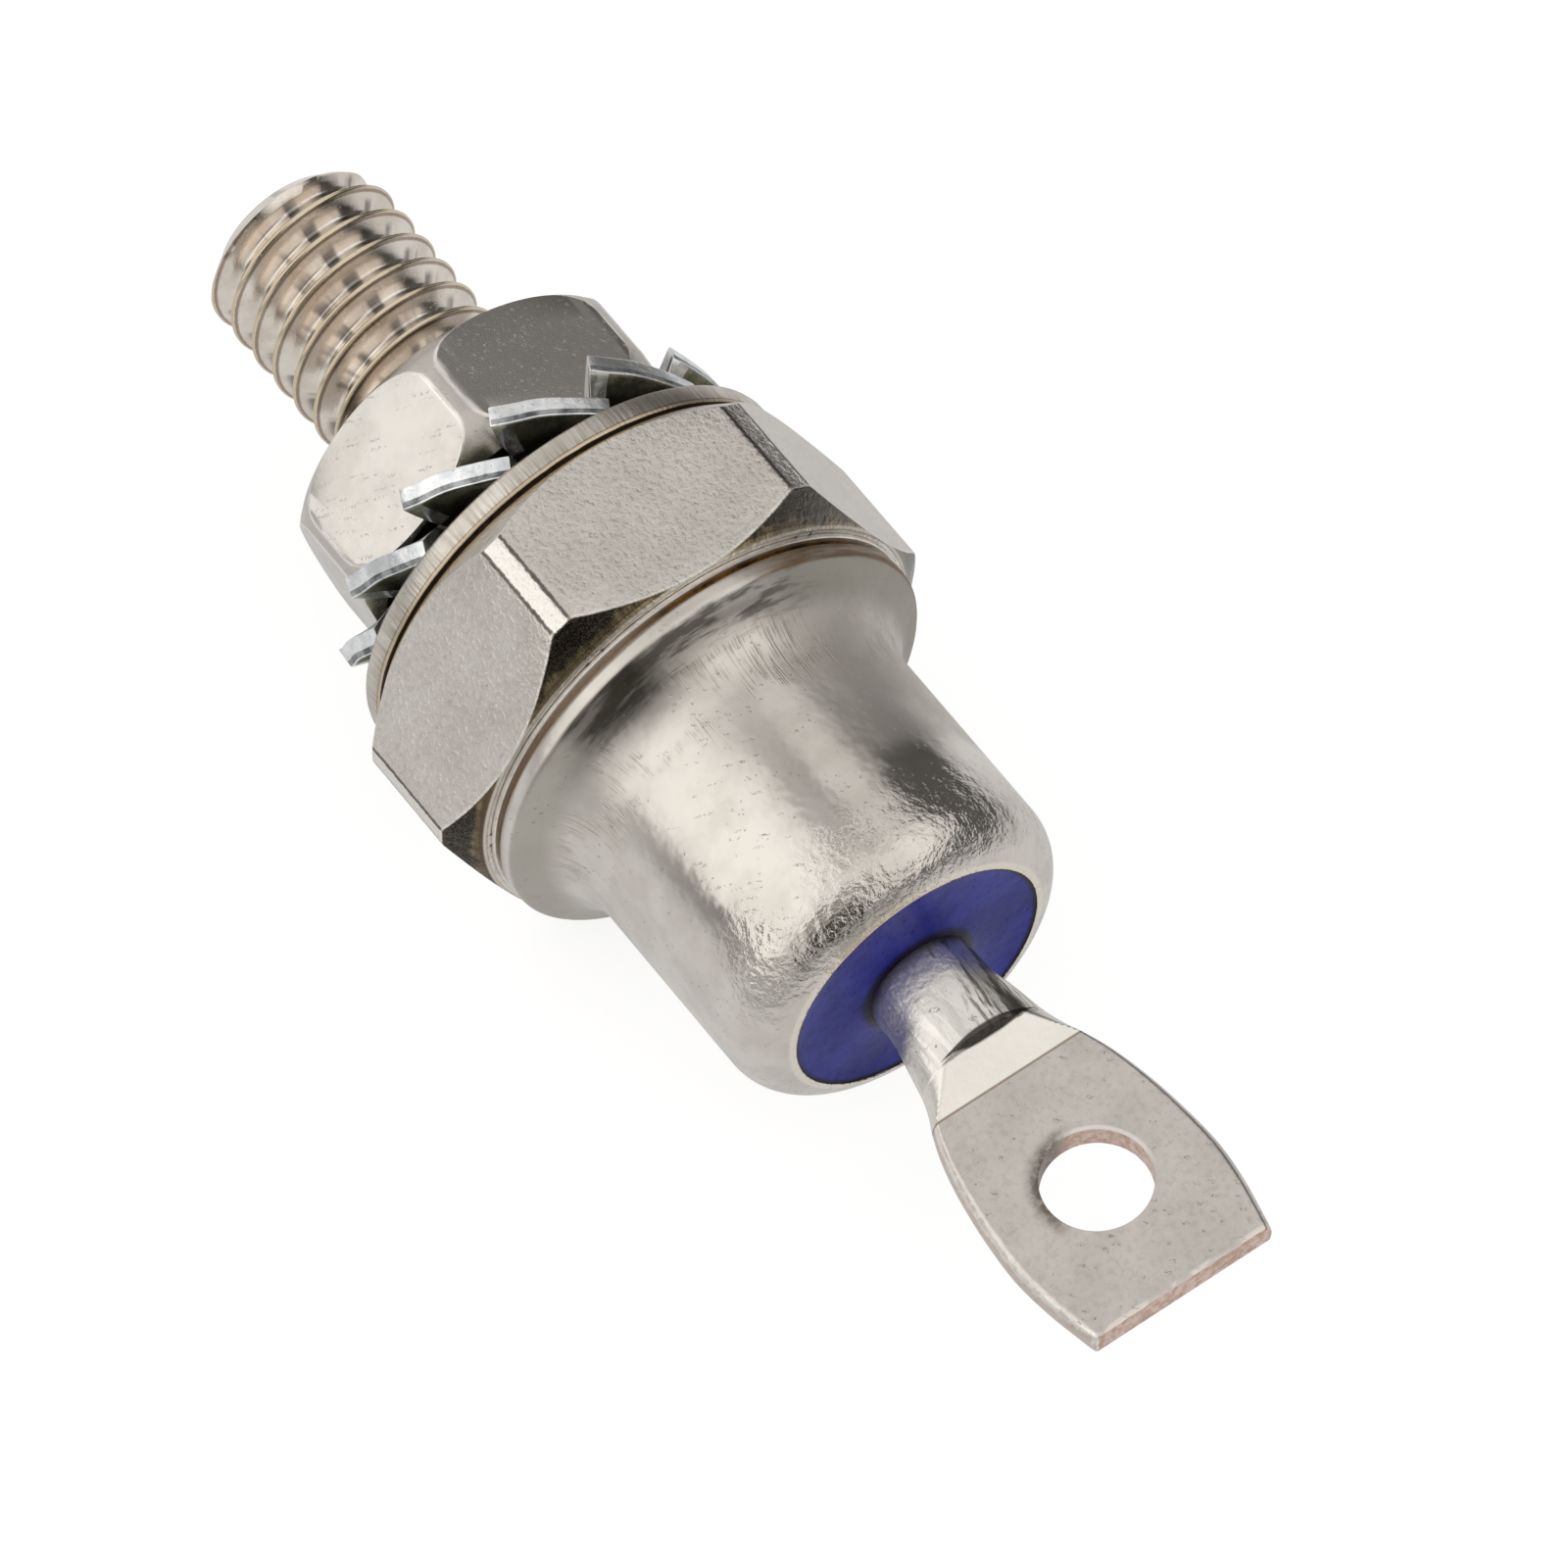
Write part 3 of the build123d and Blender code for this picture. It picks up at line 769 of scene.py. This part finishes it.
brown = times(right_side, ramp(inside, 0.04, 0.07, 1.0, 0.0), ramp(spot[2], 0.2, 0.3))
tone = blend(times(brown, 0.8), tone, (0.13, 0.08, 0.055))
# A painted highlight runs along the edge above the cut end.
end_highlight = scaled(fine["Patch"], 0.08, minus(spot[0], cap_top + lug_end + 0.04))
end_highlight = times(ramp(end_highlight, -0.14, -0.10), minus(1.0, shear), ramp(plate["Patch"], 0.56, 0.50, 0.1, 0.8))
tone = blend(end_highlight, tone, (0.95, 0.91, 0.84))
finish_surface(shader, tone, rough, height, 0.012)
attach(terminal, "root")
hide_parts("terminal_tube")

# Flat washer. Blanked from plated steel sheet and laid against the seat of the hexagon: one edge of its
# rim is rolled over by the punch, and the rim itself keeps the fine lines of the shear.
washer_face, washer_bore_r = -0.7, 2.65
washer_rim = [(washer_face, 5.22), (-0.685, 5.3), (-0.64, 5.355), (-0.57, 5.378), (-0.2, 5.38)]
washer_rim += [(-0.15, 5.372), (-0.11, 5.35), (-0.05, 5.30), (0.0, 5.20)]
washer_bore = [(0.0, washer_bore_r), (washer_face, washer_bore_r)]
washer = turned("blanked_washer", [washer_bore[1]] + washer_rim + washer_bore, 200)
close_up(washer, 30.0)
tree, shader = surface("bright_washer", washer)
place = used(tree, turned_place)
plate = used(tree, plating, Patch_Size=0.8, Pit_Size=0.12, Pit_Share=0.14)
lines = used(tree, tool_lines, Line_Scale=70.0)
tone = blend(ramp(plate["Patch"], 0.35, 0.65), (0.76, 0.73, 0.68), (0.63, 0.59, 0.53))
rim = ramp(place["Radius"], 5.3, 5.36)
sheared = times(rim, ramp(place["Along"], -0.5, -0.1, 0.45, 1.0))
tone = blend(times(sheared, ramp(lines["Lines"], 0.40, 0.62, 0.1, 0.85)), tone, (0.40, 0.34, 0.27))
tone = blend(times(plate["Pit"], 0.5), tone, (0.25, 0.21, 0.17))
# A brown line, a golden one and painted shade for the dark of the gap follow each other at the side of the
# hexagon.
ragged = scaled(plate["Patch"], 0.04, minus(place["Along"], 0.02))
outer = ramp(place["Radius"], 5.15, 5.2)
edge_lines = [(-0.215, 0.6, (0.22, 0.14, 0.08)), (-0.18, 0.7, (0.76, 0.64, 0.47))]
edge_lines += [(-0.12, 0.97, (0.03, 0.018, 0.011))]
for line_start, line_share, line_tone in edge_lines:
    line = times(outer, ramp(ragged, line_start, line_start + 0.012))
    tone = blend(times(line, line_share), tone, line_tone)
# The rim's edge towards the star washer is painted dark, painted shade between the parts.
nut_side_shade = times(rim, ramp(ragged, -0.60, -0.64, 0.0, 0.75))
tone = blend(nut_side_shade, tone, (0.22, 0.17, 0.12))
rough = scaled(plate["Patch"], 0.14, 0.24)
height = scaled(times(rim, lines["Lines"]), 1.0, times(plate["Grain"], 0.3))
finish_surface(shader, tone, rough, height, 0.01)
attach(washer, "root")
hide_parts("flat_washer")

# Star washer. Zinc plated spring steel: a flat ring whose twelve outer teeth are each twisted about their
# own radius, so that one corner bites the nut and the other the washer under it.
star_middle, star_half = -1.5495, 0.25
star_r, star_bore_r, star_edge = 5.0, 2.65, 0.02
tooth_count = 12
tooth_foot_r, tooth_root_r = 3.45, 3.7
tooth_root_width, tooth_flare = 1.6, 1.0
tooth_twist, tooth_turn = 29.0, 29.3
broken_edge = 0.05
near_side = [(star_half - star_edge, tooth_root_r), (star_half, tooth_root_r - star_edge)]
near_side += [(star_half, star_bore_r + star_edge), (star_half - star_edge, star_bore_r)]
nut_side = [(-x, r) for x, r in reversed(near_side)]
star_outline = nut_side[1:] + near_side + nut_side[:2]
star_ring = turned("star_ring", [(star_middle + x, r) for x, r in star_outline], 144)
close_up(star_ring, 30.0)

# The punch left the nut's half of every cut edge smooth and bright, and tore the other half.
zinc_tones = {
    # The faces have a dark tone, painted reflection of the dark gap between the washers.
    "zinc_face": ((0.42, 0.42, 0.31), (0.16, 0.165, 0.12), 0.32, 4.2),
    "zinc_cut": ((0.97, 0.98, 0.99), (0.72, 0.75, 0.77), 0.20, 3.6),
    "zinc_torn": ((0.46, 0.48, 0.49), (0.12, 0.13, 0.13), 0.34, 4.2),
}
for zinc_name, (light, dark, base_rough, shade_r) in zinc_tones.items():
    tree, shader = surface(zinc_name, star_ring)
    place = used(tree, turned_place)
    plate = used(tree, plating, Patch_Size=0.45, Pit_Size=0.09, Pit_Share=0.2)
    tone = blend(ramp(plate["Patch"], 0.35, 0.66), light, dark)
    tone = blend(times(plate["Pit"], 0.5), tone, (0.10, 0.10, 0.11))
    # Towards the middle, between the teeth, the nut and the washer, the zinc is painted nearly black, as
    # painted shade.
    tone = blend(ramp(place["Radius"], shade_r + 0.7, shade_r, 0.0, 0.92), tone, (0.025, 0.025, 0.02))
    rough = scaled(plate["Patch"], 0.2, base_rough)
    height = scaled(plate["Pit"], -0.6, times(plate["Patch"], 1.8))
    finish_surface(shader, tone, rough, height, 0.015)

# One tooth: a block that starts inside the ring, twisted from the ring's rim to its tip.
bpy.ops.mesh.primitive_cube_add(size=1, location=(0, 0.5, 0))
tooth = bpy.context.object
bpy.ops.object.transform_apply()
bpy.ops.object.mode_set(mode="EDIT")
bpy.ops.mesh.select_all(action="SELECT")
bpy.ops.mesh.subdivide(number_cuts=11)
bpy.ops.object.mode_set(mode="OBJECT")
for zinc in star_ring.data.materials:
    tooth.data.materials.append(zinc)
for face in tooth.data.polygons:
    # The tooth's end at the nut is burnished as its cut edges are, and the face around it is dull.
    nut_end = face.normal.x > 0.5 and face.center.z > 0.33 and face.center.y > 0.4
    bright = nut_end or (abs(face.normal.x) < 0.5 and face.center.x < 0.2)
    face.material_index = 1 if bright else 0 if abs(face.normal.x) > 0.5 else 2
for vertex in tooth.data.vertices:
    x, out, side = vertex.co
    r = tooth_foot_r + out * (star_r - tooth_foot_r)
    share = max(0.0, (r - tooth_root_r) / (star_r - tooth_root_r))
    width = tooth_root_width + share * tooth_flare
    thick = 2 * star_half - star_edge
    twist = math.radians(tooth_twist * share ** 0.7)
    flat_x, flat_z = x * thick, side * width
    place_x = flat_x * math.cos(twist) - flat_z * math.sin(twist)
    place_z = flat_x * math.sin(twist) + flat_z * math.cos(twist)
    place_y = math.sqrt(max(r * r - place_z * place_z, 1.0))
    wave = 0.035 * math.sin(6.0 * side + 5.0 * out) + 0.01 * math.sin(13.0 * side - 9.0 * out)
    vertex.co = ((star_middle + place_x + wave * share) * mm, place_y * mm, place_z * mm)
broken = tooth.modifiers.new("broken_edges", "BEVEL")
broken.width = broken_edge * mm
broken.material = 1
broken.segments = 2
broken.limit_method = "ANGLE"
broken.angle_limit = math.radians(50)
bpy.ops.object.modifier_apply(modifier=broken.name)
tooth.rotation_euler = (math.radians(tooth_turn), 0, 0)
bpy.ops.object.transform_apply()
teeth = [tooth]
for step in range(1, tooth_count):
    select_only(teeth[0])
    bpy.ops.object.duplicate()
    tooth = bpy.context.object
    tooth.rotation_euler = (math.radians(360.0 / tooth_count * step), 0, 0)
    bpy.ops.object.transform_apply()
    teeth.append(tooth)
select_only(*teeth)
bpy.ops.object.join()
combine(star_ring, teeth[0], "UNION")
star_ring.name = "twisted_star"
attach(star_ring, "root")
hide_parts("star_washer")

# Hexagon nut. Cold formed, threaded and nickel plated, with both ends turned to a round so that only the
# flats are left sharp. It sits on the stud's thread, against the star washer.
nut_near, nut_far, nut_inside = -1.93, -5.03, -4.0
nut_across = 8.0
nut_face_r, nut_corner_r = 3.93, 4.5
nut_bore_r, nut_mouth_r = 2.31, 2.78
nut_turn = 45.5
round_depth = 1.0
round_r = (round_depth ** 2 + (nut_corner_r - nut_face_r) ** 2) / (2 * (nut_corner_r - nut_face_r))


def rounded_end(r):
    """How far the turned end lies under the nut's face at a radius."""
    return round_depth - math.sqrt(max(0.0, round_r ** 2 - (r - nut_corner_r + round_r) ** 2))


def far_end(r):
    return nut_far + rounded_end(r)


def near_end(r):
    return nut_near - rounded_end(r)


nut_mouth = [(0.44, nut_bore_r), (0.01, 2.74), (0.0, nut_mouth_r)]
nut_before = [(nut_inside, nut_bore_r)] + [(nut_far + x, r) for x, r in nut_mouth]
nut_after = [(nut_near - x, r) for x, r in reversed(nut_mouth)] + [(nut_inside, nut_bore_r)]
nut = pressed_hexagon(
    "nut", nut_across, nut_corner_r, nut_turn, 1500.0, (nut_face_r, far_end), (nut_face_r, near_end),
    nut_before, nut_after,
)
close_up(nut, 17.0)
tree, shader = surface("nickel_nut", nut)
place = used(tree, turned_place)
plate = used(tree, plating, Patch_Size=1.4, Pit_Size=0.14, Pit_Share=0.2)
tone = blend(ramp(plate["Patch"], 0.35, 0.66), (0.74, 0.71, 0.67), (0.66, 0.63, 0.59))
tone = blend(times(plate["Pit"], 0.5), tone, (0.30, 0.26, 0.22))
# The bore is painted dark, as painted shade inside it.
tone = blend(ramp(place["Radius"], 2.5, 2.33), tone, (0.14, 0.12, 0.10))
# Each flat ends in a thin painted highlight where it meets the turned surface.
from_plane = times(place["Radius"], maths("COSINE", maths("RADIANS", from_flat(place, nut_turn))))
from_plane = minus(nut_across / 2, from_plane)
flat_edge_highlight = band(from_plane, 0.002, 0.006, 0.03, 0.05)
tone = blend(times(flat_edge_highlight, 0.7), tone, (0.95, 0.92, 0.87))
off_flat = ramp(from_plane, 0.03, 0.06)
tone = blend(times(off_flat, 0.35), tone, (0.45, 0.41, 0.37))
rough = scaled(plate["Patch"], 0.12, 0.20)
height = scaled(plate["Pit"], -0.6, times(plate["Grain"], 0.35))
finish_surface(shader, tone, rough, height, 0.008)
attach(nut, "root")
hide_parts("hex_nut")

# Floor, light and camera. A pale floor that keeps a faint shadow, a sky that is bright on one side and
# darker on the other, as a studio is, and a long lens from above at the picture's angle.
floor_z = -hexagon_across / 2
bpy.ops.mesh.primitive_plane_add(size=3.0, location=(0, 0, floor_z * mm))
floor = bpy.context.object
floor.name = "floor"
bpy.ops.object.transform_apply()
pale = bpy.data.materials.new("pale_floor")
pale.use_nodes = True
tree = pale.node_tree
tree.nodes.remove(tree.nodes["Principled BSDF"])
rays = tree.nodes.new("ShaderNodeLightPath").outputs
mirrored = larger(rays["Is Glossy Ray"], rays["Is Transmission Ray"])
seen = larger(rays["Is Camera Ray"], mirrored)
floor_point = tree.nodes.new("ShaderNodeTexCoord").outputs["Object"]
mirrored_glow = times(mirrored, ramp(vectors("LENGTH", floor_point), 0.025, 0.09, 0.80, 0.38))
dim_side = vectors("DOT_PRODUCT", floor_point, (0.55, -0.84, 0.0))
mirrored_glow = times(mirrored_glow, ramp(dim_side, 0.018, 0.036, 1.0, 0.45))
strength = scaled(rays["Is Camera Ray"], 1.34, mirrored_glow)
matte = made(tree, "ShaderNodeBsdfDiffuse", {"Color": (0.82, 0.82, 0.82, 1.0)})
glow = made(tree, "ShaderNodeEmission", {"Color": (1.0, 1.0, 1.0, 1.0), "Strength": strength})
mixed = made(tree, "ShaderNodeMixShader", {0: times(seen, 0.62), 1: matte.outputs[0], 2: glow.outputs[0]})
tree.links.new(mixed.outputs[0], tree.nodes["Material Output"].inputs["Surface"])
floor.data.materials.append(pale)

sky = bpy.data.worlds.new("studio")
bpy.context.scene.world = sky
sky.use_nodes = True
tree = sky.node_tree
aim = tree.nodes.new("ShaderNodeTexCoord").outputs["Generated"]


def facing(direction, low, high):
    """One where the sky's direction is near the given one, fading to nothing."""
    return ramp(vectors("DOT_PRODUCT", aim, direction), low, high)


# The studio's unlit side: below a line that stands higher towards +Y.
above_line = vectors("DOT_PRODUCT", aim, (0.2, -0.32, 1.0))
lit = ramp(above_line, 0.22, 0.34)
tone = blend(lit, (0.10, 0.10, 0.098), (0.77, 0.757, 0.738))
tone = blend(facing((-0.99, 0.0, 0.14), 0.72, 0.93), tone, (0.80, 0.78, 0.75))
tone = blend(times(lit, facing((-0.42, -0.79, 0.44), 0.70, 0.95)), tone, (1.06, 1.04, 1.005))
tone = blend(times(lit, facing((0.50, 0.33, 0.80), 0.80, 0.97)), tone, (1.0, 0.98, 0.95))
tone = blend(facing((-0.44, 0.80, 0.40), 0.86, 1.01), tone, (0.10, 0.095, 0.09))
# Darker gaps between the lamps, the camera itself and the dark end of the studio beyond the terminal.
tone = blend(facing((-0.457, -0.01, 0.890), 0.976, 0.995), tone, (0.40, 0.39, 0.38))
tone = blend(facing((0.66, -0.42, 0.62), 0.88, 0.985), tone, (0.34, 0.33, 0.31))
tone = blend(facing((0.90, -0.33, 0.27), 0.93, 0.975), tone, (0.05, 0.046, 0.04))
camera_ray = tree.nodes.new("ShaderNodeLightPath").outputs["Is Camera Ray"]
tone = blend(camera_ray, tone, (1.0, 1.0, 1.0))
tree.links.new(tone, tree.nodes["Background"].inputs["Color"])
tree.nodes["Background"].inputs["Strength"].default_value = 1.0

bpy.ops.object.light_add(type="AREA", location=(-0.35, -0.75, 0.75))
lamp = bpy.context.object
lamp.name = "softbox"
lamp.data.energy = 1.2
lamp.data.size = 1.8
lamp.rotation_euler = (-lamp.location).to_track_quat("-Z", "Y").to_euler()

bpy.ops.object.camera_add(location=(0.141627, -0.100156, 0.256861))
camera = bpy.context.object
camera.rotation_euler = (math.radians(33.2646), math.radians(-0.7128), math.radians(54.3995))
camera.data.lens = 331.415
camera.data.sensor_width = 36.0
camera.data.clip_start = 0.01
camera.data.clip_end = 20.0
bpy.context.scene.camera = camera
bpy.context.scene.view_settings.view_transform = "Standard"
